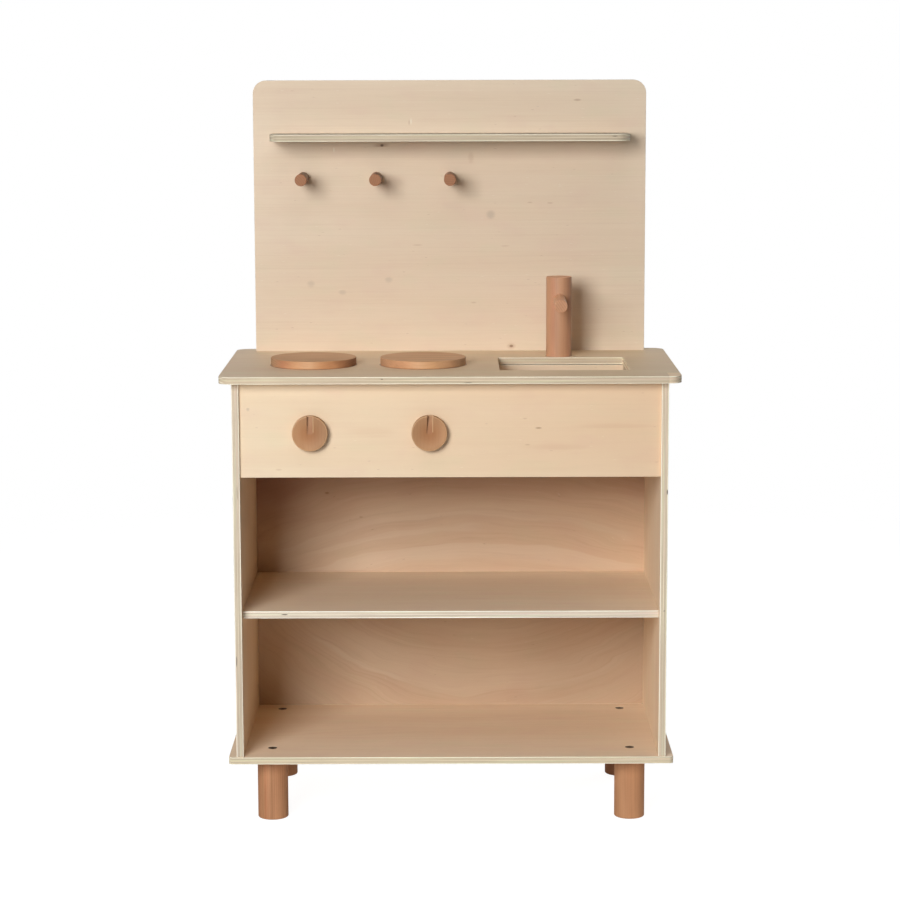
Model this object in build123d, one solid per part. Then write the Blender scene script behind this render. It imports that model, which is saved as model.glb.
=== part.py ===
from build123d import *
import math
import os

os.makedirs("parts", exist_ok=True)

# Wooden play kitchen: plywood cabinet on four dowel legs, with a worktop, a
# sink cut-out and box, two disc hotplates, two turning knobs, a dowel tap, a
# tall back board with pegs and a narrow shelf.
# Millimetres. +Z up, the front faces -Y, +X is to the right seen from the
# front. Origin: on the floor, under the middle of the worktop.

# ---------------------------------------------------------------- dimensions
PLY = 10.0                # plywood thickness, every panel
EASE = 0.6                # eased edge of every panel

WORKTOP_W = 629.0         # worktop, x
WORKTOP_D = 342.0         # worktop, y
WORKTOP_Z = 633.2         # top face of the worktop
WORKTOP_R = 18.0          # corner radius in plan

SIDE_W = 596.0            # over the two side panels
SIDE_FRONT = -151.0       # front edge of the side panels
REAR = 171.0              # rear edge of side panels, base plate and worktop
BASE_W = 618.0
BASE_FRONT = -152.5
BASE_R = 6.0
LEG_H = 88.8              # floor to underside of the base plate
BASE_Z = LEG_H + PLY      # top face of the base plate

LEG_R = 21.3
LEG_X = 251.4
LEG_Y = (-101.6, 118.1)   # front and rear legs

BACK_W = 570.0            # back board above the worktop
BACK_FACE = 141.5         # its front face
BACK_TOP = 1027.0
BACK_R = 19.0             # top corner radius

SHELF_Z = 302.0           # top face of the middle shelf
SHELF_FRONT = -133.6

FASCIA_FRONT = -146.0     # set back 5 mm behind the front edges of the side panels
FASCIA_BOTTOM = 491.7

USHELF_X = (-258.0, 259.0)
USHELF_Z = 951.0          # top face of the upper shelf
USHELF_D = 70.0
USHELF_R = 20.0

PEG_R = 8.6
PEG_L = 70.0
PEG_Z = 886.4
PEG_X = (-212.9, -106.5, 0.5)

PLATE_R = 60.0            # hotplate discs
PLATE_H = 11.0
PLATE_X = (-191.7, -38.0)
PLATE_Y = -28.0

KNOB_R = 24.4
KNOB_H = 11.0
KNOB_X = (-191.2, -28.4)
KNOB_Z = 553.7
KNOB_TURN = (0.0, 3.5)    # degrees clockwise from the front, as left by a hand
KNOB_SLOT_W = 8.0
KNOB_SLOT_D = (2.2, 6.0)  # depth of the pointer groove at the centre and at the rim
PAD_T = 0.75              # felt washer between knob and fascia
GAP = 0.05                # running gap each side of the fascia

SINK_X = (68.5, 248.5)
SINK_Y = (-99.5, 51.0)
SINK_WALL_H = 60.0

TAP_X = 156.8
TAP_Y = 73.6
TAP_R = 18.25
TAP_H = 114.4
SPOUT_R = 9.0
SPOUT_L = 91.0            # reach in front of the column
SPOUT_Z = 715.0           # axis height
SPOUT_TURN = -0.5         # degrees, the spout's rest direction, a little to the left
SINK_GAP = 0.8            # slit over the rear wall of the sink box

STUD_R = 3.0              # M6 shank
RUN = 0.06                # radial running clearance round a turning shank
FIT = 0.05                # radial clearance round dowels and screws

INNER = SIDE_W / 2 - PLY  # inside half width of the cabinet
UNDER = WORKTOP_Z - PLY   # underside of the worktop
BACK_REAR = BACK_FACE + PLY

# ------------------------------------------------------------------- helpers


def block(x0, x1, y0, y1, z0, z1):
    """Plain box between two corners."""
    b = Box(x1 - x0, y1 - y0, z1 - z0)
    return Pos((x0 + x1) / 2, (y0 + y1) / 2, (z0 + z1) / 2) * b


def panel(x0, x1, y0, y1, z0, z1, ease=EASE):
    """Plywood panel with every edge eased."""
    b = block(x0, x1, y0, y1, z0, z1)
    return fillet(b.edges(), ease)


def rod_z(x, y, z0, z1, r):
    return Pos(x, y, (z0 + z1) / 2) * Cylinder(r, z1 - z0)


def rod_y(x, z, y0, y1, r):
    return Pos(x, (y0 + y1) / 2, z) * (Rot(90, 0, 0) * Cylinder(r, y1 - y0))


def rod_x(y, z, x0, x1, r):
    return Pos((x0 + x1) / 2, y, z) * (Rot(0, 90, 0) * Cylinder(r, x1 - x0))


def dowel(loc, r, length, nose=0.6):
    """Joint dowel, centred on loc, along its z axis, with chamfered ends."""
    c = Cylinder(r, length)
    c = chamfer(c.edges().filter_by(GeomType.CIRCLE), nose)
    return loc * c


def dowel_hole(loc, r, length):
    """Room for a joint dowel: FIT all round and 0.5 mm at each end."""
    return loc * Cylinder(r + FIT, length + 1.0)


def screw(loc, d, head_d, head_h, length, grow=0.0, recess=True):
    """Countersunk wood screw. Head face at loc, shank along -z of loc."""
    head = Pos(0, 0, -head_h / 2) * Cone(d / 2 + grow, head_d / 2 + grow, head_h)
    tip = d * 0.9
    shank = Pos(0, 0, -(length - tip) / 2) * Cylinder(d / 2 + grow, length - tip)
    point = Pos(0, 0, -(length - tip / 2)) * Cone(0.35 + grow, d / 2 + grow, tip)
    s = head + shank + point
    if recess:
        arm = head_d * 0.52
        s = s - Pos(0, 0, -0.6) * Box(arm, head_d * 0.12, 1.8)
        s = s - Pos(0, 0, -0.6) * Box(head_d * 0.12, arm, 1.8)
    return loc * s


def hexagon(af, h):
    return extrude(RegularPolygon(af / 2, 6, major_radius=False), h)


def save(shape, node):
    items = shape if isinstance(shape, list) else [shape]
    solids = []
    for s in items:
        solids.extend(s.solids())
    out = solids[0] if len(solids) == 1 else Compound(children=solids)
    export_step(out, os.path.join("parts", node + ".step"))


# Directions for fasteners: each turns +z of the fastener the way its head
# or its mouth points.
UP = Rot(0, 0, 0)
DOWN = Rot(180, 0, 0)
BACKWARD = Rot(-90, 0, 0)     # +z turned to +Y
ALONG_X = Rot(0, 90, 0)


# ------------------------------------------------------- fastener positions
# wood screws up through the base plate into side panels and back board
BASE_SCREWS = [(sx * (SIDE_W / 2 - PLY / 2), y) for sx in (-1, 1) for y in (-120.0, 10.0, 140.0)]
BASE_SCREWS += [(x, BACK_FACE + PLY / 2) for x in (-190.0, 0.0, 190.0)]
BASE_SCREW = dict(d=4.0, head_d=8.0, head_h=2.6, length=40.0)

# screws from behind the back board
SHELF_SCREWS = [(x, SHELF_Z - PLY / 2) for x in (-190.0, 0.0, 190.0)]
SHELF_SCREW = dict(d=3.5, head_d=7.0, head_h=2.2, length=40.0)
USHELF_SCREWS = [(x, USHELF_Z - PLY / 2) for x in (-200.0, 0.5, 200.0)]
USHELF_SCREW = dict(d=3.5, head_d=7.0, head_h=2.2, length=45.0)
PEG_SCREW = dict(d=4.0, head_d=8.0, head_h=2.6, length=35.0)

# screws up through the worktop into the hotplates
PLATE_SCREWS = [(px + dx, PLATE_Y) for px in PLATE_X for dx in (-30.0, 30.0)]
PLATE_SCREW = dict(d=3.5, head_d=7.0, head_h=2.2, length=16.0)

# screws up through the sink floor into the front and rear sink walls
SINK_FLOOR_Z = UNDER - SINK_WALL_H
SINK_SCREWS = [(x, y) for y in (SINK_Y[0] - PLY / 2, SINK_Y[1] + PLY / 2)
               for x in (SINK_X[0] + 10.0, (SINK_X[0] + SINK_X[1]) / 2, SINK_X[1] - 10.0)]
SINK_SCREW = dict(d=3.5, head_d=7.0, head_h=2.2, length=30.0)

DOWEL_R = 3.0
DOWEL_L = 20.0            # 6.5 in the face it enters, 13.5 in the panel edge
DEEP = 13.5
SHALLOW = 6.5
MID = (DEEP - SHALLOW) / 2

WORKTOP_DOWELS = [Pos(sx * (SIDE_W / 2 - PLY / 2), y, UNDER - MID) * UP
                  for sx in (-1, 1) for y in (-110.0, 20.0, 120.0)]
FASCIA_TOP_DOWELS = [Pos(x, FASCIA_FRONT + PLY / 2, UNDER - MID) * UP for x in (-240.0, -110.0, 40.0)]
FASCIA_DOWELS = [Pos(sx * (INNER - MID), FASCIA_FRONT + PLY / 2, z) * ALONG_X
                 for sx in (-1, 1) for z in (515.0, 590.0)]
SHELF_DOWELS = [Pos(sx * (INNER - MID), y, SHELF_Z - PLY / 2) * ALONG_X
                for sx in (-1, 1) for y in (-95.0, 95.0)]
BACK_DOWELS = [Pos(sx * (INNER - MID), BACK_FACE + PLY / 2, z) * ALONG_X
               for sx in (-1, 1) for z in (160.0, 360.0, 560.0)]
SINK_DOWEL_R = 2.5
SINK_DOWEL_L = 18.0       # 6 in the worktop, 12 in the wall
SINK_DOWELS = [Pos(x, y, UNDER - 3.0)
               for y in (SINK_Y[0] - PLY / 2, SINK_Y[1] + PLY / 2)
               for x in (SINK_X[0] + 30.0, SINK_X[1] - 30.0)]
SINK_DOWELS += [Pos(x, y, UNDER - 3.0)
                for x in (SINK_X[0] - PLY / 2, SINK_X[1] + PLY / 2)
                for y in (SINK_Y[0] + 35.0, SINK_Y[1] - 35.0)]


def holes(locs, r, length):
    return [dowel_hole(loc, r, length) for loc in locs]


def cut(shape, tools):
    for t in tools:
        shape = shape - t
    return shape


def screw_set(spots, make_loc, spec, grow=0.0, recess=True):
    return [screw(make_loc(p), grow=grow, recess=recess, **spec) for p in spots]


base_loc = lambda p: Pos(p[0], p[1], LEG_H) * DOWN
back_loc = lambda p: Pos(p[0], BACK_REAR, p[1]) * BACKWARD
plate_loc = lambda p: Pos(p[0], p[1], UNDER) * DOWN
sink_loc = lambda p: Pos(p[0], p[1], SINK_FLOOR_Z - PLY) * DOWN

base_tools = screw_set(BASE_SCREWS, base_loc, BASE_SCREW, FIT, False)
shelf_tools = screw_set(SHELF_SCREWS, back_loc, SHELF_SCREW, FIT, False)
ushelf_tools = screw_set(USHELF_SCREWS, back_loc, USHELF_SCREW, FIT, False)
peg_spots = [(x, PEG_Z) for x in PEG_X]
peg_tools = screw_set(peg_spots, back_loc, PEG_SCREW, FIT, False)
plate_tools = screw_set(PLATE_SCREWS, plate_loc, PLATE_SCREW, FIT, False)
sink_tools = screw_set(SINK_SCREWS, sink_loc, SINK_SCREW, FIT, False)

# -------------------------------------------------------------- base and legs
base = block(-BASE_W / 2, BASE_W / 2, BASE_FRONT, REAR, LEG_H, BASE_Z)
base = fillet(base.edges().filter_by(Axis.Z), BASE_R)
base = fillet(base.edges().group_by(Axis.Z)[0] + base.edges().group_by(Axis.Z)[-1], EASE)

LEG_SPOTS = [(sx * LEG_X, y) for y in LEG_Y for sx in (-1, 1)]
BOLT_HEAD_R = 6.3
BOLT_HEAD_H = 3.4
BOLT_L = 45.0
INSERT_R = 4.8
INSERT_L = 15.0


def leg_bolt(x, y):
    """M6 countersunk bolt with a hexagon socket, head flush with the base."""
    head = Pos(0, 0, -BOLT_HEAD_H / 2 - 0.25) * Cone(STUD_R, BOLT_HEAD_R, BOLT_HEAD_H - 0.5)
    rim = Pos(0, 0, -0.35) * Cylinder(BOLT_HEAD_R, 0.5)
    shank = Pos(0, 0, -BOLT_L / 2 - 0.5) * Cylinder(STUD_R, BOLT_L - 1.0)
    b = head + rim + shank
    b = b - Pos(0, 0, -2.6) * hexagon(4.0, 3.0)
    return Pos(x, y, BASE_Z) * b


base = cut(base, base_tools)
for x, y in LEG_SPOTS:
    base = base - rod_z(x, y, LEG_H - 1, BASE_Z + 1, 3.2)
    base = base - rod_z(x, y, BASE_Z - 0.7, BASE_Z + 1, BOLT_HEAD_R + 0.12)
    base = base - Pos(x, y, BASE_Z - 2.1) * Cone(3.2, BOLT_HEAD_R + 0.12, 2.9)
save(base, "base_plate")

names = ("leg_front_left", "leg_front_right", "leg_rear_left", "leg_rear_right")
for (x, y), name in zip(LEG_SPOTS, names):
    leg = rod_z(x, y, 0, LEG_H, LEG_R)
    leg = fillet(leg.edges().group_by(Axis.Z)[0].filter_by(GeomType.CIRCLE), 1.5)
    leg = leg - rod_z(x, y, LEG_H - INSERT_L - 1.0, LEG_H + 1, INSERT_R + FIT)
    leg = leg - rod_z(x, y, LEG_H - 42.0, LEG_H, 3.3)
    save(leg, name)

inserts = []
for x, y in LEG_SPOTS:
    ins = rod_z(x, y, LEG_H - INSERT_L - 0.5, LEG_H - 0.5, INSERT_R)
    ins = ins - rod_z(x, y, LEG_H - INSERT_L - 2, LEG_H + 1, STUD_R + FIT)
    inserts.append(ins)
save(inserts, "leg_inserts")
save([leg_bolt(x, y) for x, y in LEG_SPOTS], "leg_bolts")
save(screw_set(BASE_SCREWS, base_loc, BASE_SCREW), "base_screws")

# ------------------------------------------------------------ cabinet panels
for sx, name in ((-1, "side_panel_left"), (1, "side_panel_right")):
    x0, x1 = sorted((sx * INNER, sx * SIDE_W / 2))
    side = panel(x0, x1, SIDE_FRONT, REAR, BASE_Z, UNDER)
    side = cut(side, base_tools[0:3] if sx < 0 else base_tools[3:6])
    for group in (WORKTOP_DOWELS, FASCIA_DOWELS, SHELF_DOWELS, BACK_DOWELS):
        half = len(group) // 2
        side = cut(side, holes(group[:half] if sx < 0 else group[half:], DOWEL_R, DOWEL_L))
    save(side, name)

shelf = panel(-INNER, INNER, SHELF_FRONT, BACK_FACE, SHELF_Z - PLY, SHELF_Z)
shelf = cut(shelf, holes(SHELF_DOWELS, DOWEL_R, DOWEL_L) + shelf_tools)
save(shelf, "middle_shelf")

fascia = panel(-INNER, INNER, FASCIA_FRONT, FASCIA_FRONT + PLY, FASCIA_BOTTOM, UNDER)
fascia = cut(fascia, holes(FASCIA_DOWELS + FASCIA_TOP_DOWELS, DOWEL_R, DOWEL_L))
for x in KNOB_X:
    fascia = fascia - rod_y(x, KNOB_Z, FASCIA_FRONT - 1, FASCIA_FRONT + PLY + 1, STUD_R + RUN)
save(fascia, "fascia_panel")

# Back board: one sheet from the base plate to the top. It is as wide as the
# cabinet inside, and 6 mm narrower where it comes up through the worktop.
lower = block(-INNER, INNER, BACK_FACE, BACK_REAR, BASE_Z, UNDER)
upper = block(-BACK_W / 2, BACK_W / 2, BACK_FACE, BACK_REAR, UNDER - 1, BACK_TOP)
upper = fillet(upper.edges().filter_by(Axis.Y).group_by(Axis.Z)[-1], BACK_R)
board = lower + upper
rim_edges = (board.faces().sort_by(Axis.Y)[0].edges() + board.faces().sort_by(Axis.Y)[-1].edges())
board = fillet(rim_edges, EASE)
board = cut(board, base_tools[6:9] + shelf_tools + ushelf_tools + peg_tools
            + holes(BACK_DOWELS, DOWEL_R, DOWEL_L))
save(board, "back_board")

# ------------------------------------------------------------------ worktop
top = block(-WORKTOP_W / 2, WORKTOP_W / 2, REAR - WORKTOP_D, REAR, UNDER, WORKTOP_Z)
top = fillet(top.edges().filter_by(Axis.Z), WORKTOP_R)
top = fillet(top.edges().group_by(Axis.Z)[0] + top.edges().group_by(Axis.Z)[-1], EASE)
well = block(SINK_X[0], SINK_X[1], SINK_Y[0], SINK_Y[1], UNDER - 5, WORKTOP_Z + 5)
well = fillet(well.edges().filter_by(Axis.Z), 4.0)
top = top - well
sink_rim = [e for e in top.edges() if min(abs(e.center().Z - WORKTOP_Z), abs(e.center().Z - UNDER)) < 0.01
            and SINK_X[0] - 1 < e.center().X < SINK_X[1] + 1
            and SINK_Y[0] - 1 < e.center().Y < SINK_Y[1] + 1]
top = fillet(sink_rim, EASE)
# slot for the back board
top = top - block(-BACK_W / 2 - 0.6, BACK_W / 2 + 0.6, BACK_FACE - 0.3, BACK_REAR + 0.3,
                  UNDER - 5, WORKTOP_Z + 5)
top = cut(top, holes(WORKTOP_DOWELS + FASCIA_TOP_DOWELS, DOWEL_R, DOWEL_L)
          + holes(SINK_DOWELS, SINK_DOWEL_R, SINK_DOWEL_L) + plate_tools)
top = top - rod_z(TAP_X, TAP_Y, UNDER - 1, WORKTOP_Z + 1, STUD_R + RUN)
save(top, "worktop")

# --------------------------------------------------------------------- sink
z0, z1 = SINK_FLOOR_Z, UNDER
SINK_EASE = 0.7           # leaves a fine groove at the joint under the worktop
xa, xb = SINK_X[0] - PLY, SINK_X[1] + PLY
ya, yb = SINK_Y[0] - PLY, SINK_Y[1] + PLY
sink_holes = holes(SINK_DOWELS, SINK_DOWEL_R, SINK_DOWEL_L)
save(cut(panel(xa, xb, ya, SINK_Y[0], z0, z1, SINK_EASE), sink_holes + sink_tools), "sink_wall_front")
save(cut(panel(xa, xb, SINK_Y[1], yb, z0, z1 - SINK_GAP, SINK_EASE), sink_holes + sink_tools), "sink_wall_rear")
save(cut(panel(xa, SINK_X[0], SINK_Y[0], SINK_Y[1], z0, z1, SINK_EASE), sink_holes), "sink_wall_left")
save(cut(panel(SINK_X[1], xb, SINK_Y[0], SINK_Y[1], z0, z1, SINK_EASE), sink_holes), "sink_wall_right")
save(cut(panel(xa, xb, ya, yb, z0 - PLY, z0, 0.3), sink_tools), "sink_floor")
save(screw_set(SINK_SCREWS, sink_loc, SINK_SCREW), "sink_screws")
save([dowel(loc, SINK_DOWEL_R, SINK_DOWEL_L) for loc in SINK_DOWELS], "sink_dowels")

# ------------------------------------------------------------- joint dowels
save([dowel(loc, DOWEL_R, DOWEL_L) for loc in WORKTOP_DOWELS], "worktop_dowels")
save([dowel(loc, DOWEL_R, DOWEL_L) for loc in FASCIA_DOWELS + FASCIA_TOP_DOWELS], "fascia_dowels")
save([dowel(loc, DOWEL_R, DOWEL_L) for loc in SHELF_DOWELS], "shelf_dowels")
save([dowel(loc, DOWEL_R, DOWEL_L) for loc in BACK_DOWELS], "back_board_dowels")
save(screw_set(SHELF_SCREWS, back_loc, SHELF_SCREW), "shelf_screws")

# ---------------------------------------------------- upper shelf and pegs
us = block(USHELF_X[0], USHELF_X[1], BACK_FACE - USHELF_D, BACK_FACE, USHELF_Z - PLY, USHELF_Z)
us = fillet(us.edges().filter_by(Axis.Z).group_by(Axis.Y)[0], USHELF_R)
us = fillet(us.edges().group_by(Axis.Z)[0] + us.edges().group_by(Axis.Z)[-1], EASE)
us = cut(us, ushelf_tools)
save(us, "upper_shelf")
save(screw_set(USHELF_SCREWS, back_loc, USHELF_SCREW), "upper_shelf_screws")

for x, tool, name in zip(PEG_X, peg_tools, ("peg_left", "peg_middle", "peg_right")):
    peg = rod_y(x, PEG_Z, BACK_FACE - PEG_L, BACK_FACE, PEG_R)
    peg = fillet(peg.edges().filter_by(GeomType.CIRCLE).sort_by(Axis.Y)[0:1], 0.8)
    save(peg - tool, name)
save(screw_set(peg_spots, back_loc, PEG_SCREW), "peg_screws")

# ---------------------------------------------------------------- hotplates
for i, (x, name) in enumerate(zip(PLATE_X, ("hotplate_left", "hotplate_right"))):
    disc = rod_z(x, PLATE_Y, WORKTOP_Z, WORKTOP_Z + PLATE_H, PLATE_R)
    disc = fillet(disc.edges().filter_by(GeomType.CIRCLE).sort_by(Axis.Z)[-1:], 1.0)
    disc = fillet(disc.edges().filter_by(GeomType.CIRCLE).sort_by(Axis.Z)[0:1], 1.5)
    save(cut(disc, plate_tools[2 * i:2 * i + 2]), name)
save(screw_set(PLATE_SCREWS, plate_loc, PLATE_SCREW), "hotplate_screws")

# -------------------------------------------------------------------- knobs
# Each knob turns on a stud that is fixed in it and runs in a bore through the
# fascia, with a felt washer in front and a washer and lock nut behind.
KNOB_BACK = FASCIA_FRONT - GAP - PAD_T     # rear face of the knob
KNOB_FACE = KNOB_BACK - KNOB_H
DISH_R = 21.5
DISH_D = 1.0
STUD_IN = 6.5                              # stud's length inside the knob, short of the groove
FASCIA_REAR = FASCIA_FRONT + PLY
for x, turn, side in zip(KNOB_X, KNOB_TURN, ("left", "right")):
    knob = Cylinder(KNOB_R, KNOB_H)        # +z of this blank is the knob's face
    knob = fillet(knob.edges().filter_by(GeomType.CIRCLE).sort_by(Axis.Z)[-1:], 1.0)
    knob = fillet(knob.edges().filter_by(GeomType.CIRCLE).sort_by(Axis.Z)[0:1], 0.8)
    ball = (DISH_R ** 2 + DISH_D ** 2) / (2 * DISH_D)
    knob = knob - Pos(0, 0, KNOB_H / 2 - DISH_D + ball) * Sphere(ball)
    slope = math.degrees(math.atan2(KNOB_SLOT_D[1] - KNOB_SLOT_D[0], KNOB_R + 0.8))
    groove = Pos(0, 35.0, 20.0) * Box(KNOB_SLOT_W, 70.0, 40.0)
    groove = fillet(groove.edges().filter_by(Axis.Z), 1.0)
    knob = knob - Pos(0, -0.8, KNOB_H / 2 - KNOB_SLOT_D[0]) * Rot(-slope, 0, 0) * groove
    knob = knob - Pos(0, 0, -KNOB_H / 2 + STUD_IN / 2) * Cylinder(STUD_R + 0.02, STUD_IN)
    # face to the front (-Y), pointer groove up, then the turn it is left at
    place = Pos(x, (KNOB_BACK + KNOB_FACE) / 2, KNOB_Z) * Rot(0, turn, 0) * Rot(90, 0, 0)
    save(place * knob, f"knob_{side}")

    stud = rod_y(x, KNOB_Z, KNOB_BACK - STUD_IN + 0.3, FASCIA_REAR + 11.0, STUD_R)
    save(chamfer(stud.edges().filter_by(GeomType.CIRCLE), 0.5), f"knob_stud_{side}")

    pad = rod_y(x, KNOB_Z, KNOB_BACK, KNOB_BACK + PAD_T, 11.0)
    save(pad - rod_y(x, KNOB_Z, KNOB_BACK - 1, KNOB_BACK + 3, STUD_R + 0.15), f"knob_felt_{side}")

    w0 = FASCIA_REAR + GAP
    washer = rod_y(x, KNOB_Z, w0, w0 + 1.6, 9.0)
    save(washer - rod_y(x, KNOB_Z, w0 - 1, w0 + 3, STUD_R + 0.2), f"knob_washer_{side}")

    n0 = w0 + 1.6
    nut = Pos(x, n0, KNOB_Z) * Rot(-90, 0, 0) * hexagon(10.0, 5.0)
    nut = nut + rod_y(x, KNOB_Z, n0 + 4.9, n0 + 6.5, 4.4)
    save(nut - rod_y(x, KNOB_Z, n0 - 1, n0 + 8, STUD_R + 0.02), f"knob_lock_nut_{side}")

# ---------------------------------------------------------------------- tap
# A column held by one bolt from below, so it can be turned by hand, with a
# straight spout glued into a bore in its side.
C0 = WORKTOP_Z + GAP
column = rod_z(TAP_X, TAP_Y, C0, WORKTOP_Z + TAP_H, TAP_R)
column = fillet(column.edges().filter_by(GeomType.CIRCLE).sort_by(Axis.Z)[-1:], 0.8)
column = column - rod_z(TAP_X, TAP_Y, C0 - 1, C0 + 15.0, INSERT_R + FIT)
column = column - rod_z(TAP_X, TAP_Y, C0, C0 + 34.0, 3.3)
SPOUT_ROOT = TAP_Y - 2.0
swing = Pos(TAP_X, TAP_Y, 0) * Rot(0, 0, SPOUT_TURN) * Pos(-TAP_X, -TAP_Y, 0)
column = column - swing * rod_y(TAP_X, SPOUT_Z, TAP_Y - TAP_R - 5, SPOUT_ROOT + 0.5, SPOUT_R + 0.02)
save(column, "tap_column")

spout = rod_y(TAP_X, SPOUT_Z, TAP_Y - TAP_R - SPOUT_L, SPOUT_ROOT, SPOUT_R)
spout = fillet(spout.edges().filter_by(GeomType.CIRCLE).sort_by(Axis.Y)[0:1], 0.8)
save(swing * spout, "tap_spout")

ins = rod_z(TAP_X, TAP_Y, C0 + 0.5, C0 + 14.0, INSERT_R)
save(ins - rod_z(TAP_X, TAP_Y, C0 - 1, C0 + 20, STUD_R + 0.02), "tap_insert")

W1 = UNDER - GAP
washer = rod_z(TAP_X, TAP_Y, W1 - 1.6, W1, 9.0)
save(washer - rod_z(TAP_X, TAP_Y, W1 - 3, W1 + 1, STUD_R + 0.2), "tap_washer")

bolt = Pos(TAP_X, TAP_Y, W1 - 1.6 - 4.0) * hexagon(10.0, 4.0)
bolt = bolt + rod_z(TAP_X, TAP_Y, W1 - 2.6, C0 + 30.0, STUD_R)
save(bolt, "tap_bolt")
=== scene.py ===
import math

import bpy
from mathutils import Matrix, Vector


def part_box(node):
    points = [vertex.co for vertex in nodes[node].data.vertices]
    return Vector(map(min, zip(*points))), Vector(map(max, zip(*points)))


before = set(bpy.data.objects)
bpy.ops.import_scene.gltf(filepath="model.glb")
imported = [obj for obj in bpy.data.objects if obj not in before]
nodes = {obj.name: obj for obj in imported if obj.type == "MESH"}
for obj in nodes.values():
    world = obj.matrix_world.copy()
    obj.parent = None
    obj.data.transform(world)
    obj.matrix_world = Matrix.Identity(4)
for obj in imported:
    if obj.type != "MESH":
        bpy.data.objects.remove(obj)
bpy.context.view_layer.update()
scene = bpy.context.scene
scene.view_settings.view_transform = "Standard"
scene.view_settings.look = "None"
scene.view_settings.exposure = 0.0
scene.view_settings.gamma = 1.0

# ------------------------------------------------------------------- camera
cam_data = bpy.data.cameras.new("camera")
camera = bpy.data.objects.new("camera", cam_data)
scene.collection.objects.link(camera)
scene.camera = camera
cam_data.sensor_fit = "HORIZONTAL"
cam_data.sensor_width = 36.0
cam_data.lens = 2585.101 / 900 * 36.0
cam_data.clip_start, cam_data.clip_end = 0.05, 60.0
yaw, pitch, roll = (math.radians(v) for v in (-0.033, -8.72, -0.153))
fwd = Vector((math.sin(yaw) * math.cos(pitch), math.cos(yaw) * math.cos(pitch), math.sin(pitch)))
right = Vector((math.cos(yaw), -math.sin(yaw), 0.0))
up = right.cross(fwd)
rr = right * math.cos(roll) + up * math.sin(roll)
uu = up * math.cos(roll) - right * math.sin(roll)
camera.matrix_world = Matrix((
    (rr.x, uu.x, -fwd.x, 0.001643),
    (rr.y, uu.y, -fwd.y, -3.637553),
    (rr.z, uu.z, -fwd.z, 1.0649),
    (0, 0, 0, 1)))


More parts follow.
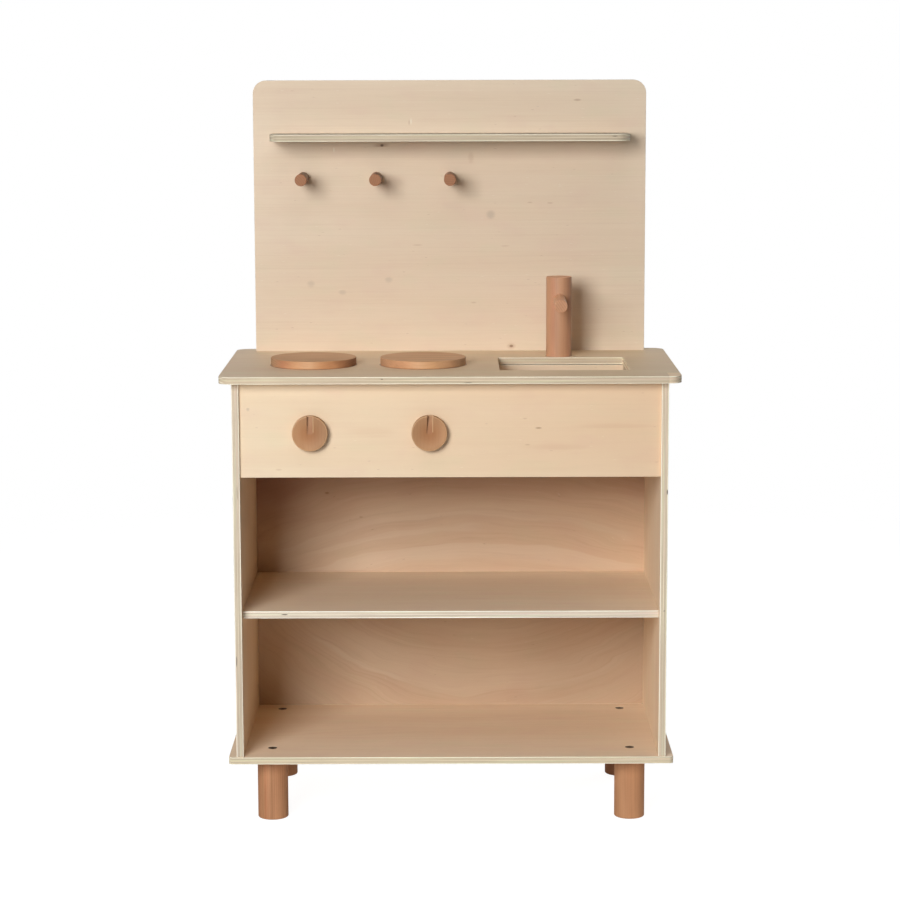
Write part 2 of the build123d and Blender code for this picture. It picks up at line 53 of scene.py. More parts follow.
# ------------------------------------------------------- node tree shorthand
class Tree:
    """Short calls for building one material's nodes. A value is a socket or a constant."""

    def __init__(self, name, world=None):
        if world is None:
            self.mat = bpy.data.materials.new(name)
            self.mat.use_nodes = True
            self.nt = self.mat.node_tree
        else:
            world.use_nodes = True
            self.nt = world.node_tree
        self.nt.nodes.clear()

    def put(self, socket, value):
        if isinstance(value, bpy.types.NodeSocket):
            self.nt.links.new(value, socket)
        elif value is not None:
            if socket.type == "RGBA" and len(value) == 3:
                value = (*value, 1.0)
            socket.default_value = value

    def new(self, kind, **props):
        n = self.nt.nodes.new(kind)
        for k, v in props.items():
            setattr(n, k, v)
        return n

    def m(self, op, a, b=None, c=None, clamp=False):
        n = self.new("ShaderNodeMath", operation=op, use_clamp=clamp)
        for s, v in zip(n.inputs, (a, b, c)):
            self.put(s, v)
        return n.outputs[0]

    def add(self, *v):
        out = v[0]
        for x in v[1:]:
            out = self.m("ADD", out, x)
        return out

    def mul(self, *v):
        out = v[0]
        for x in v[1:]:
            out = self.m("MULTIPLY", out, x)
        return out

    def sub(self, a, b):
        return self.m("SUBTRACT", a, b)

    def absolute(self, a):
        return self.m("ABSOLUTE", a)

    def vec(self, x, y, z):
        n = self.new("ShaderNodeCombineXYZ")
        for s, v in zip(n.inputs, (x, y, z)):
            self.put(s, v)
        return n.outputs[0]

    def split(self, v):
        n = self.new("ShaderNodeSeparateXYZ")
        self.put(n.inputs[0], v)
        return n.outputs[0], n.outputs[1], n.outputs[2]

    def vsub(self, a, b):
        n = self.new("ShaderNodeVectorMath", operation="SUBTRACT")
        self.put(n.inputs[0], a)
        self.put(n.inputs[1], b)
        return n.outputs[0]

    def length(self, a):
        n = self.new("ShaderNodeVectorMath", operation="LENGTH")
        self.put(n.inputs[0], a)
        return n.outputs["Value"]

    def noise(self, v, detail=2.0, rough=0.5, dist=0.0, scale=1.0):
        n = self.new("ShaderNodeTexNoise")
        n.noise_dimensions = "3D"
        self.put(n.inputs["Vector"], v)
        self.put(n.inputs["Scale"], scale)
        self.put(n.inputs["Detail"], detail)
        self.put(n.inputs["Roughness"], rough)
        self.put(n.inputs["Distortion"], dist)
        return n.outputs["Fac"]

    def cells(self, v, rand=1.0, feature="F1"):
        n = self.new("ShaderNodeTexVoronoi", feature=feature)
        self.put(n.inputs["Vector"], v)
        self.put(n.inputs["Scale"], 1.0)
        self.put(n.inputs["Randomness"], rand)
        return n.outputs["Distance"], self.split(n.outputs["Color"])

    def map(self, v, a, b, lo=0.0, hi=1.0, smooth=True):
        """v from a..b to lo..hi, held at both ends."""
        n = self.new("ShaderNodeMapRange", interpolation_type="SMOOTHSTEP" if smooth else "LINEAR")
        n.clamp = True
        for s, x in zip(("Value", "From Min", "From Max", "To Min", "To Max"), (v, a, b, lo, hi)):
            self.put(n.inputs[s], x)
        return n.outputs[0]

    def ramp(self, f, stops, how="LINEAR"):
        n = self.new("ShaderNodeValToRGB")
        r = n.color_ramp
        r.interpolation = how
        while len(r.elements) > 1:
            r.elements.remove(r.elements[-1])
        r.elements[0].position = stops[0][0]
        r.elements[0].color = (*stops[0][1], 1.0)
        for pos, col in stops[1:]:
            e = r.elements.new(pos)
            e.color = (*col, 1.0)
        self.put(n.inputs[0], f)
        return n.outputs[0]

    def mix(self, f, a, b, mode="MIX", clamp=False):
        n = self.new("ShaderNodeMix", data_type="RGBA", blend_type=mode)
        n.clamp_result = clamp
        self.put(n.inputs[0], f)
        self.put(n.inputs[6], a)
        self.put(n.inputs[7], b)
        return n.outputs[2]

    def mixf(self, f, a, b):
        n = self.new("ShaderNodeMix", data_type="FLOAT")
        self.put(n.inputs[0], f)
        self.put(n.inputs[2], a)
        self.put(n.inputs[3], b)
        return n.outputs[0]

    def scaled(self, colour, k):
        """colour times the number k."""
        n = self.new("ShaderNodeVectorMath", operation="SCALE")
        self.put(n.inputs[0], colour)
        self.put(n.inputs["Scale"], k)
        return n.outputs[0]

    def bump(self, height, distance, strength=1.0, normal=None):
        n = self.new("ShaderNodeBump")
        self.put(n.inputs["Height"], height)
        self.put(n.inputs["Distance"], distance)
        self.put(n.inputs["Strength"], strength)
        self.put(n.inputs["Normal"], normal)
        return n.outputs[0]

    def shader(self, colour, rough, normal=None, **fixed):
        n = self.new("ShaderNodeBsdfPrincipled")
        self.put(n.inputs["Base Color"], colour)
        self.put(n.inputs["Roughness"], rough)
        self.put(n.inputs["Normal"], normal)
        for k, v in fixed.items():
            n.inputs[k.replace("_", " ")].default_value = v
        out = self.new("ShaderNodeOutputMaterial")
        self.nt.links.new(n.outputs[0], out.inputs[0])
        return self.mat


AXES = "xyz"


def lin(r, g, b):
    """A colour given on the 0-255 scale, as linear light."""
    return tuple(c / 12.92 if c <= 0.04045 else ((c + 0.055) / 1.055) ** 2.4 for c in (r / 255, g / 255, b / 255))


# ------------------------------------------------------------------ plywood
EDGE_TINT = (1.11, 1.17, 1.165)
CREAM = lin(241, 220, 192)
TAN = lin(233, 205, 174)
ROSY = lin(229, 197, 169)
BROWN = lin(184, 146, 112)
VOID = lin(70, 48, 34)


def plywood(name, node, thick, grain, seed, marks=(), voids=(), knots=(), tint=(1.0, 1.0, 1.0), zones=(),
            edge_tint=EDGE_TINT, broad=0.4, fine=1.0, bends=(), arcs=(), sides=None,
            dims=(), rings=()):
    """One sheet of poplar plywood: sliced face veneer on the two faces, the cut plies on the edges.
    thick and grain are the axes of its thickness and face grain. marks, voids and knots are at
    (x, y, z) in millimetres. zones are (x0, x1, z0, z1, tint, soft): painted shade and light, parts of the
    face darkened or lightened by the tint.
    broad and fine are the strength of the wide bands and of the streaks. bends is (x0, z0, z1, radius):
    between z0 and z1 the lines of the veneer run in arcs. arcs is (z0, z1, top, x0, x1, depth, k, colour):
    a band of another colour that follows those arcs, depth millimetres down from top.
    sides is (tint at the left end, tint at the right end): painted light, a slow change from end to end
    that stands in for light falling off across the sheet. dims are (x0, x1, y0, y1, k): painted shade and
    light, boxes made darker or lighter by k. rings are (x, y, r, width, k): painted shade, a fine dark line
    round a foot."""
    t = Tree(name)
    lo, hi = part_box(node)
    mid = (lo + hi) / 2
    it, ig = AXES.index(thick), AXES.index(grain)
    ic = 3 - it - ig
    tc = t.new("ShaderNodeTexCoord")
    p = t.split(t.vsub(tc.outputs["Object"], tuple(mid)))
    n = [t.absolute(v) for v in t.split(tc.outputs["Normal"])]
    g, c, h = p[ig], p[ic], p[it]
    # the slot in the back board and such leave a wide sheet with a thickness of 10 mm
    half = (hi[it] - lo[it]) / 2

    # grain that runs round a knot
    for x, y, z, size in knots:
        q = [x / 1000 - mid.x, y / 1000 - mid.y, z / 1000 - mid.z]
        dg, dc = t.sub(g, q[ig]), t.sub(c, q[ic])
        r2 = t.add(t.m("POWER", t.m("DIVIDE", dg, size * 5.0 / 1000), 2.0),
                   t.m("POWER", t.m("DIVIDE", dc, size * 2.2 / 1000), 2.0))
        push = t.m("EXPONENT", t.mul(r2, -1.0))
        c = t.sub(c, t.mul(dc, push, 0.75))

    s = seed * 7.31
    # --- face veneer
    amp = 1.0
    wander = t.noise(t.vec(t.mul(g, 7.0), t.mul(c, 30.0), s + 30.0), 2.0, 0.5)
    for x0, z0, z1, radius in bends:
        dg = t.sub(g, x0 / 1000 - mid.x)
        here = t.mul(t.map(p[2], z0 / 1000 - mid.z, z0 / 1000 - mid.z + 0.003), t.map(p[2], z1 / 1000 - mid.z, z1 / 1000 - mid.z - 0.003))
        c = t.add(c, t.mul(here, t.add(t.mul(dg, dg, 500.0 / radius), t.mul(t.sub(wander, 0.5), 0.030))))
        amp = t.add(amp, t.mul(here, 1.1))
    wide = t.noise(t.vec(t.mul(g, 1.6), t.add(t.mul(c, 20.0), s), s), 2.0, 0.5, 0.2)
    blot = t.noise(t.vec(t.mul(g, 8.0), t.add(t.mul(c, 44.0), s), s + 3.1), 2.0, 0.5)
    streak = t.noise(t.vec(t.mul(g, 9.0), t.add(t.mul(c, 260.0), s), s + 1.7), 4.0, 0.6, 0.12)
    fibre = t.noise(t.vec(t.mul(g, 55.0), t.add(t.mul(c, 1700.0), s), s + 5.3), 2.0, 0.6)
    field = t.noise(t.vec(t.mul(g, 0.9), t.add(t.mul(c, 9.0), s), s + 9.9), 1.0, 0.4, 0.15)
    lines = t.m("SINE", t.add(t.mul(field, 150.0), t.mul(streak, 1.6)))
    lines = t.map(lines, -0.2, 1.0)
    where = t.map(t.noise(t.vec(t.mul(g, 1.9), t.add(t.mul(c, 12.0), s), s + 14.0), 2.0, 0.5), 0.46, 0.72)
    figure = t.mul(lines, where)

    thread = t.noise(t.vec(t.mul(g, 2.4), t.add(t.mul(c, 540.0), s), s + 21.0), 2.0, 0.5)
    patch = t.noise(t.vec(t.mul(g, 14.0), t.add(t.mul(c, 30.0), s), s + 26.0), 2.0, 0.5)
    face = t.mix(t.add(0.5, t.mul(t.sub(t.map(wide, 0.25, 0.75), 0.5), amp, broad)), CREAM, TAN)
    face = t.mix(t.mul(t.map(blot, 0.45, 0.75), amp, 0.30 * broad), face, ROSY)
    face = t.mix(t.mul(t.map(patch, 0.52, 0.72), 0.22), face, lin(232, 198, 176))
    face = t.mix(t.mul(t.map(patch, 0.48, 0.28), 0.22), face, lin(228, 215, 180))
    dark = t.add(t.mul(t.map(streak, 0.45, 0.80), amp, 0.085 * fine), t.mul(figure, amp, 0.05 * fine),
                 t.mul(t.map(thread, 0.54, 0.76), 0.085 * fine), t.mul(t.map(fibre, 0.50, 0.85), 0.05))
    face = t.mix(dark, face, BROWN)
    pale = t.add(t.mul(t.map(streak, 0.44, 0.20), amp, 0.18 * fine), t.mul(t.map(thread, 0.46, 0.24), 0.16 * fine))
    face = t.mix(pale, face, lin(246, 229, 203))
    for z0, z1, top, x0, x1, depth, k, col in arcs:
        down = t.sub(top / 1000 - mid.z, c)
        band = t.mul(t.map(h, 0.001, -0.001), t.map(down, -0.0012, 0.0012), t.map(down, depth / 1000, depth / 2000),
                     t.map(p[0], x0 / 1000 - mid.x, x0 / 1000 - mid.x + 0.04), t.map(p[0], x1 / 1000 - mid.x, x1 / 1000 - mid.x - 0.04),
                     t.map(p[2], z0 / 1000 - mid.z, z0 / 1000 - mid.z + 0.003), t.map(p[2], z1 / 1000 - mid.z, z1 / 1000 - mid.z - 0.003))
        face = t.mix(t.mul(band, t.map(blot, 0.10, 0.55, 0.45, 1.0), k), face, col)

    # short pores and pale dashes along the grain
    d1, (r1, r2, r3) = t.cells(t.vec(t.mul(g, 62.0), t.add(t.mul(c, 430.0), s), s))
    near = t.map(d1, 0.05, 0.19, 1.0, 0.0)
    pale_dash = t.mul(near, t.map(r1, 0.90, 0.93), 0.55)
    dark_dash = t.mul(near, t.map(r2, 0.94, 0.96), 0.42)
    face = t.mix(pale_dash, face, lin(250, 236, 214))
    face = t.mix(dark_dash, face, lin(165, 124, 92))

    for x, y, z, rg, rc, k, col in marks:
        q = [x / 1000 - mid.x, y / 1000 - mid.y, z / 1000 - mid.z]
        dg = t.m("DIVIDE", t.sub(p[ig], q[ig]), rg / 1000)
        dc = t.m("DIVIDE", t.add(t.sub(p[ic], q[ic]), t.mul(t.sub(streak, 0.5), rc * 1.2 / 1000)), rc / 1000)
        r = t.m("SQRT", t.add(t.mul(dg, dg), t.mul(dc, dc)))
        face = t.mix(t.mul(t.map(r, 0.25, 1.0, 1.0, 0.0), k), face, col)
    for x, y, z, size in knots:
        q = [x / 1000 - mid.x, y / 1000 - mid.y, z / 1000 - mid.z]
        dg, dc = t.sub(p[ig], q[ig]), t.sub(p[ic], q[ic])
        r = t.m("SQRT", t.add(t.m("POWER", t.m("DIVIDE", dg, size * 0.75 / 1000), 2.0),
                              t.m("POWER", t.m("DIVIDE", dc, size * 0.5 / 1000), 2.0)))
        r = t.add(r, t.mul(t.sub(blot, 0.5), 0.5))
        face = t.mix(t.mul(t.map(r, 0.9, 2.2, 1.0, 0.0), 0.35), face, lin(190, 148, 110))
        face = t.mix(t.mul(t.map(r, 0.35, 1.0, 1.0, 0.0), 0.75), face, lin(128, 86, 58))

    # painted shade and light: the zones darken or lighten parts of the face
    front = t.map(h, 0.001, -0.001)
    for x0, x1, z0, z1, other, soft in zones:
        w = soft / 1000
        inside = t.mul(front, t.map(p[0], x0 / 1000 - mid.x, x0 / 1000 - mid.x + w), t.map(p[0], x1 / 1000 - mid.x, x1 / 1000 - mid.x - w),
                       t.map(p[2], z0 / 1000 - mid.z, z0 / 1000 - mid.z + w), t.map(p[2], z1 / 1000 - mid.z, z1 / 1000 - mid.z - w))
        face = t.mix(inside, face, t.mix(1.0, face, other, "MULTIPLY"))
    # painted shade: a fine dark line round the foot of a part that stands on the sheet
    for x, y, r0, w, k in rings:
        dx, dy = t.sub(p[0], x / 1000 - mid.x), t.sub(p[1], y / 1000 - mid.y)
        d = t.sub(t.m("SQRT", t.add(t.mul(dx, dx), t.mul(dy, dy))), r0 / 1000)
        face = t.mix(t.mul(t.map(d, w / 1000, w / 2500, 0.0, 1.0), k), face, lin(122, 88, 62))

    # --- cut edge: five plies, the second and fourth across the face grain
    lay = t.mul(t.sub(t.noise(t.vec(t.mul(g, 9.0), t.mul(c, 9.0), s), 2.0), 0.5), 0.05)
    u = t.add(t.m("DIVIDE", h, 2 * half), 0.5, lay)
    outer, cross, core, glue = lin(249, 237, 216), lin(202, 182, 157), lin(211, 193, 168), lin(170, 142, 114)
    plies = t.ramp(u, [(0.0, outer), (0.115, outer), (0.135, glue), (0.155, glue), (0.175, cross), (0.350, cross),
                       (0.370, glue), (0.385, glue), (0.405, core), (0.595, core), (0.615, glue), (0.630, glue),
                       (0.650, cross), (0.825, cross), (0.845, glue), (0.865, glue), (0.885, outer), (1.0, outer)])
    outer2, cross2, core2 = lin(220, 202, 176), lin(236, 220, 196), lin(214, 194, 168)
    ends = t.ramp(u, [(0.0, outer2), (0.115, outer2), (0.135, glue), (0.155, glue), (0.175, cross2), (0.350, cross2),
                      (0.370, glue), (0.385, glue), (0.405, core2), (0.595, core2), (0.615, glue), (0.630, glue),
                      (0.650, cross2), (0.825, cross2), (0.845, glue), (0.865, glue), (0.885, outer2), (1.0, outer2)])
    edge = t.mix(t.map(n[ig], 0.5, 0.8), plies, ends)
    run = t.noise(t.vec(t.mul(g, 26.0), t.mul(c, 26.0), t.mul(h, 2600.0)), 3.0, 0.6)
    spot = t.noise(t.vec(t.mul(g, 520.0), t.mul(c, 520.0), t.mul(h, 900.0)), 2.0, 0.6)
    hue = t.noise(t.vec(t.mul(g, 5.0), t.mul(c, 5.0), t.mul(h, 330.0)), 2.0, 0.5)
    ply = t.m("FLOOR", t.mul(u, 5.0))
    tone = t.noise(t.vec(t.mul(g, 4.5), t.mul(c, 4.5), t.add(t.mul(ply, 3.71), s)), 3.0, 0.6)
    edge = t.scaled(edge, t.map(tone, 0.28, 0.72, 0.87, 1.10))
    edge = t.mix(t.mul(t.map(run, 0.48, 0.80), 0.24), edge, lin(178, 148, 118))
    edge = t.mix(t.mul(t.map(spot, 0.55, 0.80), 0.14), edge, lin(150, 120, 95))
    edge = t.mix(t.mul(t.map(hue, 0.52, 0.70), 0.34), edge, lin(228, 198, 180))
    edge = t.mix(t.mul(t.map(hue, 0.46, 0.30), 0.42), edge, lin(214, 210, 176))

    # gaps in the cross plies, where two strips of veneer don't quite meet
    d2, (v1, v2, v3) = t.cells(t.vec(t.mul(g, 13.0), t.mul(c, 13.0), t.mul(ply, 4.37)))
    inband = t.map(t.absolute(t.sub(t.absolute(t.sub(u, 0.5)), 0.26)), 0.045, 0.085, 1.0, 0.0)
    gap = t.mul(t.map(d2, 0.03, 0.10, 1.0, 0.0), t.map(v1, 0.90, 0.92), inband)
    for x, y, z, rg, rt, k in voids:
        q = [x / 1000 - mid.x, y / 1000 - mid.y, z / 1000 - mid.z]
        d = [t.m("DIVIDE", t.sub(p[i], q[i]), (rt if i == it else rg) / 1000) for i in range(3)]
        r = t.m("SQRT", t.add(t.mul(d[0], d[0]), t.mul(d[1], d[1]), t.mul(d[2], d[2])))
        gap = t.m("MAXIMUM", gap, t.mul(t.map(r, 0.45, 1.0, 1.0, 0.0), k))
    edge = t.mix(1.0, edge, edge_tint, "MULTIPLY")
    edge = t.mix(t.mul(gap, 0.9), edge, VOID)
    face = t.mix(1.0, face, tint, "MULTIPLY")
    # painted light: the face lighter at one end and darker at the other, for light falling off across the sheet
    if sides is not None:
        drift = t.map(t.add(p[0], t.mul(t.sub(wide, 0.5), 0.08)), -0.26, 0.26, smooth=False)
        face = t.mix(1.0, face, t.mix(drift, *sides), "MULTIPLY")

    # --- where the face gives way to the edge on the eased arris
    on_edge = t.map(t.add(n[it], t.mul(t.sub(streak, 0.5), 0.10)), 0.78, 0.93, 1.0, 0.0)
    colour = t.mix(on_edge, face, edge)
    arris = t.mul(t.map(n[it], 0.25, 0.55), t.map(n[it], 0.985, 0.85))
    colour = t.mix(t.mul(arris, 0.28), colour, lin(248, 236, 215))
    # painted shade and light: boxes where the colour is made darker or lighter
    for x0, x1, y0, y1, k in dims:
        inside = t.mul(t.map(p[0], x0 / 1000 - mid.x, x0 / 1000 - mid.x + 0.001), t.map(p[0], x1 / 1000 - mid.x, x1 / 1000 - mid.x - 0.001),
                       t.map(p[1], y0 / 1000 - mid.y, y0 / 1000 - mid.y + 0.002), t.map(p[1], y1 / 1000 - mid.y, y1 / 1000 - mid.y - 0.002))
        colour = t.scaled(colour, t.mixf(inside, 1.0, k))
    face_h = t.add(t.mul(fibre, 0.45), t.mul(streak, 0.35), t.mul(dark_dash, -0.8))
    glue_line = t.map(t.absolute(t.sub(t.absolute(t.sub(u, 0.5)), 0.3775)), 0.0, 0.03, 1.0, 0.0)
    glue_line2 = t.map(t.absolute(t.sub(t.absolute(t.sub(u, 0.5)), 0.1225)), 0.0, 0.02, 1.0, 0.0)
    edge_h = t.add(t.mul(run, 0.8), t.mul(spot, 0.5), t.mul(glue_line, -0.5), t.mul(glue_line2, -0.5), t.mul(gap, -4.0))
    height = t.mixf(on_edge, face_h, edge_h)
    normal = t.bump(height, 0.00016, 0.8)
    rough = t.mixf(on_edge, t.add(0.50, t.mul(streak, 0.12)), t.add(0.62, t.mul(run, 0.16)))
    return t.shader(colour, rough, normal, Specular_IOR_Level=0.38)


# -------------------------------------------------------------------- beech
def beech(name, node, grain, seed, turn=20.0, pith=0.09, light=lin(204, 148, 112), dark=lin(168, 112, 78),
          gloss=0.42, tint=(1.0, 1.0, 1.0), lean=None, calm=1.0, ringed=False, far=None,
          ends=0.86, rim=None, bands=()):
    """Solid beech, oiled. grain is the axis of the grain, turn and pith say how the growth rings lie.
    lean is ((x, y, z), k): a slow change of tone across the piece along that direction; on the front right leg
    and the tap column it is painted light, the right side made lighter. calm below 1 evens out the streaks.
    ringed is for a knob's face: darker and warmer in the middle, lighter towards the rim, with a painted
    highlight on the rounded rim and along one edge of the groove. far is ((x, y, z), k): painted shade, the side
    that way is darker by k. ends is the tone of the end grain. rim is [(x, tint)]: how the tone changes round
    the edge of a disc, partly end grain at the two ends and partly painted shade and light, the shaded end
    darker and the lit front lighter.
    bands are (x, width, k, colour): stripes of another tone along an upright dowel."""
    t = Tree(name)
    lo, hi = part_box(node)
    mid = (lo + hi) / 2
    ig = AXES.index(grain)
    ia, ib = [i for i in range(3) if i != ig]
    tc = t.new("ShaderNodeTexCoord")
    p = t.split(t.vsub(tc.outputs["Object"], tuple(mid)))
    n = [t.absolute(v) for v in t.split(tc.outputs["Normal"])]
    g, a, b = p[ig], p[ia], p[ib]
    s = seed * 5.17
    co, si = math.cos(math.radians(turn)), math.sin(math.radians(turn))
    q = t.add(t.mul(a, co), t.mul(b, si))
    r = t.add(t.mul(a, -si), t.mul(b, co))

    sway = t.noise(t.vec(t.add(t.mul(g, 6.0), s), t.mul(q, 22.0), t.mul(r, 22.0)), 2.0, 0.5)
    rad = t.m("SQRT", t.add(t.m("POWER", t.add(q, pith), 2.0), t.mul(r, r)))
    rad = t.add(rad, t.mul(sway, 0.0045))
    ring = t.m("FRACT", t.m("DIVIDE", rad, 0.0031))
    late = t.mul(t.map(ring, 0.45, 0.92), t.map(ring, 1.0, 0.93))
    broad = t.noise(t.vec(t.add(t.mul(g, 7.0), s), t.mul(q, 60.0), t.mul(r, 60.0)), 2.0, 0.5)
    streak = t.noise(t.vec(t.add(t.mul(g, 14.0), s), t.mul(q, 420.0), t.mul(r, 420.0)), 3.0, 0.6)
    fine = t.noise(t.vec(t.add(t.mul(g, 90.0), s), t.mul(q, 2100.0), t.mul(r, 2100.0)), 2.0, 0.6)
    even = 0.3 if ringed else 1.0
    k = t.add(t.mul(t.map(broad, 0.30, 0.70), 0.50 * even), 0.25 * (1 - even), t.mul(late, 0.16 * calm), t.mul(t.map(streak, 0.35, 0.75), 0.20 * calm))
    colour = t.mix(k, light, dark)
    colour = t.mix(t.mul(t.map(fine, 0.5, 0.85), 0.12 * calm), colour, lin(120, 74, 48))

    for x, w, amount, col in bands:
        d = t.absolute(t.add(t.sub(p[0], x / 1000), t.mul(t.sub(sway, 0.5), 0.008)))
        colour = t.mix(t.mul(t.map(d, w / 2000, w / 8000, 0.0, 1.0), t.map(broad, 0.15, 0.6, 0.6, 1.0), amount), colour, col)

    # ray flecks: short dark spindles along the grain, broad where the ray is cut flat
    d1, (r1, r2, r3) = t.cells(t.vec(t.add(t.mul(g, 300.0), s), t.mul(q, 1500.0), t.mul(r, 700.0)))
    fleck = t.mul(t.map(d1, 0.10, 0.30, 1.0, 0.0), t.map(r1, 0.62, 0.70))
    side = t.map(n[ig], 0.55, 0.85, 1.0, 0.0)
    colour = t.mix(t.mul(fleck, side, 0.26 * calm), colour, lin(128, 78, 52))

    # end grain: darker, with the rings as arcs and the rays as fine pale lines
    ray = t.noise(t.vec(t.mul(g, 40.0), t.mul(q, 160.0), t.mul(r, 2600.0)), 2.0, 0.5)
    pore = t.noise(t.vec(t.mul(g, 200.0), t.mul(q, 2400.0), t.mul(r, 2400.0)), 2.0, 0.6)
    end = t.mix(t.mul(t.map(ring, 0.35, 0.95), t.map(ring, 1.0, 0.96), 0.40), light, dark)
    end = t.mix(t.mul(t.map(pore, 0.48, 0.75), 0.30), end, lin(112, 70, 48))
    end = t.mix(t.mul(t.map(ray, 0.55, 0.75), 0.20), end, lin(214, 166, 130))
    end = t.scaled(end, ends)
    on_end = t.map(t.add(n[ig], t.mul(t.sub(streak, 0.5), 0.12)), 0.66, 0.90)
    colour = t.mix(on_end, colour, end)
    # on the front right leg and the tap column, lean is painted light: the right side lighter
    if lean is not None:
        (lx, ly, lz), amount = lean
        away = t.add(t.mul(p[0], lx), t.mul(p[1], ly), t.mul(p[2], lz), t.mul(t.sub(broad, 0.5), 0.02))
        colour = t.scaled(colour, t.map(away, -0.02, 0.02, 1.0 - amount, 1.0 + amount))
    if ringed:
        away = t.m("SQRT", t.add(t.mul(p[0], p[0]), t.mul(p[2], p[2])))
        away = t.add(away, t.mul(t.sub(streak, 0.5), 0.003))
        colour = t.mix(1.0, colour, t.mix(t.map(away, 0.004, 0.021), (0.99, 0.90, 0.77), (1.14, 1.23, 1.27)), "MULTIPLY")
        # painted highlight: a pale line along one edge of the groove and a pale ring on the rounded rim
        painted_highlight = t.mul(t.map(t.absolute(t.sub(p[0], 0.0046)), 0.0003, 0.0009, 1.0, 0.0), t.map(p[2], 0.0005, 0.0030), 0.55)
        painted_highlight = t.m("MAXIMUM", painted_highlight, t.mul(t.map(away, 0.0226, 0.0236), t.map(n[1], 0.3, 0.6), 0.40))
        colour = t.mix(painted_highlight, colour, lin(244, 206, 170))
    # painted shade and light, partly end grain: the rim's tone changes from end to end, darker at the shaded end,
    # lighter at the lit front
    if rim is not None:
        f = t.add(t.map(p[0], -0.06, 0.06, smooth=False), t.mul(t.sub(broad, 0.5), 0.05))
        tones = t.ramp(f, [((x + 60) / 120, tuple(v * 0.75 for v in c)) for x, c in rim])
        around = t.map(n[2], 0.45, 0.75, 1.0, 0.0)
        colour = t.mix(around, colour, t.scaled(t.mix(1.0, colour, tones, "MULTIPLY"), 1 / 0.75))
    # painted shade: the side of the piece facing that way is darker
    if far is not None:
        (fx, fy, fz), amount = far
        away = t.add(t.mul(p[0], fx), t.mul(p[1], fy), t.mul(p[2], fz), t.mul(t.sub(broad, 0.5), 0.003))
        colour = t.scaled(colour, t.mixf(on_end, t.map(away, -0.002, 0.010, 1.0, 1.0 - amount), 1.0))
    colour = t.mix(1.0, colour, tint, "MULTIPLY")

    side_h = t.add(t.mul(streak, 0.4), t.mul(fine, 0.5), t.mul(fleck, -0.5))
    height = t.mixf(on_end, side_h, t.add(t.mul(pore, 0.9), t.mul(ray, 0.3)))
    normal = t.bump(height, 0.00012, 0.7)
    rough = t.mixf(on_end, t.add(gloss, t.mul(streak, 0.12)), t.add(gloss + 0.14, t.mul(pore, 0.12)))
    return t.shader(colour, rough, normal, Specular_IOR_Level=0.42)


# ------------------------------------------------------ metal, felt and rest
def zinc(name, dull=1.0):
    """Zinc plated steel: grey with a faint cloudy bloom and fine darker scratches."""
    t = Tree(name)
    tc = t.new("ShaderNodeTexCoord")
    x, y, z = t.split(tc.outputs["Object"])
    bloom = t.noise(t.vec(t.mul(x, 260.0), t.mul(y, 260.0), t.mul(z, 260.0)), 3.0, 0.6)
    fine = t.noise(t.vec(t.mul(x, 2600.0), t.mul(y, 2600.0), t.mul(z, 900.0)), 3.0, 0.65)
    colour = t.mix(bloom, lin(112, 108, 102), lin(158, 154, 146))
    colour = t.mix(t.mul(t.map(fine, 0.50, 0.75), 0.35), colour, lin(84, 78, 70))
    colour = t.scaled(colour, dull)
    normal = t.bump(fine, 0.00005, 0.5)
    rough = t.add(0.30, t.mul(bloom, 0.18), t.mul(fine, 0.10))
    return t.shader(colour, rough, normal, Metallic=1.0)


def brass(name):
    """Turned brass, with the fine rings that the tool leaves along each insert."""
    t = Tree(name)
    tc = t.new("ShaderNodeTexCoord")
    x, y, z = t.split(tc.outputs["Object"])
    lathe = t.m("SINE", t.mul(z, 7800.0))
    cloud = t.noise(t.vec(t.mul(x, 180.0), t.mul(y, 180.0), t.mul(z, 180.0)), 3.0, 0.6)
    colour = t.mix(cloud, lin(214, 178, 98), lin(176, 138, 66))
    normal = t.bump(t.add(t.mul(lathe, 0.5), cloud), 0.00008, 0.6)
    return t.shader(colour, t.add(0.24, t.mul(cloud, 0.20)), normal, Metallic=1.0)


def felt(name):
    """Pressed wool felt."""
    t = Tree(name)
    tc = t.new("ShaderNodeTexCoord")
    x, y, z = t.split(tc.outputs["Object"])
    hair = t.noise(t.vec(t.mul(x, 1500.0), t.mul(y, 1500.0), t.mul(z, 1500.0)), 4.0, 0.7, 1.5)
    lump = t.noise(t.vec(t.mul(x, 300.0), t.mul(y, 300.0), t.mul(z, 300.0)), 2.0, 0.5)
    colour = t.mix(hair, lin(196, 190, 178), lin(228, 222, 208))
    colour = t.mix(t.mul(t.map(lump, 0.4, 0.8), 0.3), colour, lin(170, 160, 144))
    normal = t.bump(t.add(hair, lump), 0.0004, 0.9)
    return t.shader(colour, t.add(0.86, t.mul(hair, 0.1)), normal, Sheen_Weight=0.3)


def wear(node, material):
    """The node's one material slot gets this material."""
    o = nodes[node]
    o.data.materials.clear()
    o.data.materials.append(material)


SHADE = lin(176, 134, 100)
FAINT = lin(196, 158, 124)
GREY = lin(176, 156, 136)
PALE, ROSE, KNOT = lin(252, 240, 218), lin(214, 172, 138), lin(96, 64, 44)
ARC_UP, ARC_DOWN = 347.2, 121.6
ARCS = [(303, 620, ARC_UP, -260, 300, 34.0, 0.34, PALE), (303, 620, ARC_UP + 24.0, -230, 60, 12.0, 0.26, PALE),
        (303, 620, ARC_UP + 46.0, -280, 290, 12.0, 0.22, PALE),
        (90, 291, ARC_DOWN, -225, -50, 9.0, 0.30, PALE), (90, 291, ARC_DOWN - 8.0, -160, 120, 16.0, 0.15, ROSE),
        (90, 291, ARC_DOWN + 1.0, 120, 290, 14.0, 0.14, PALE)]
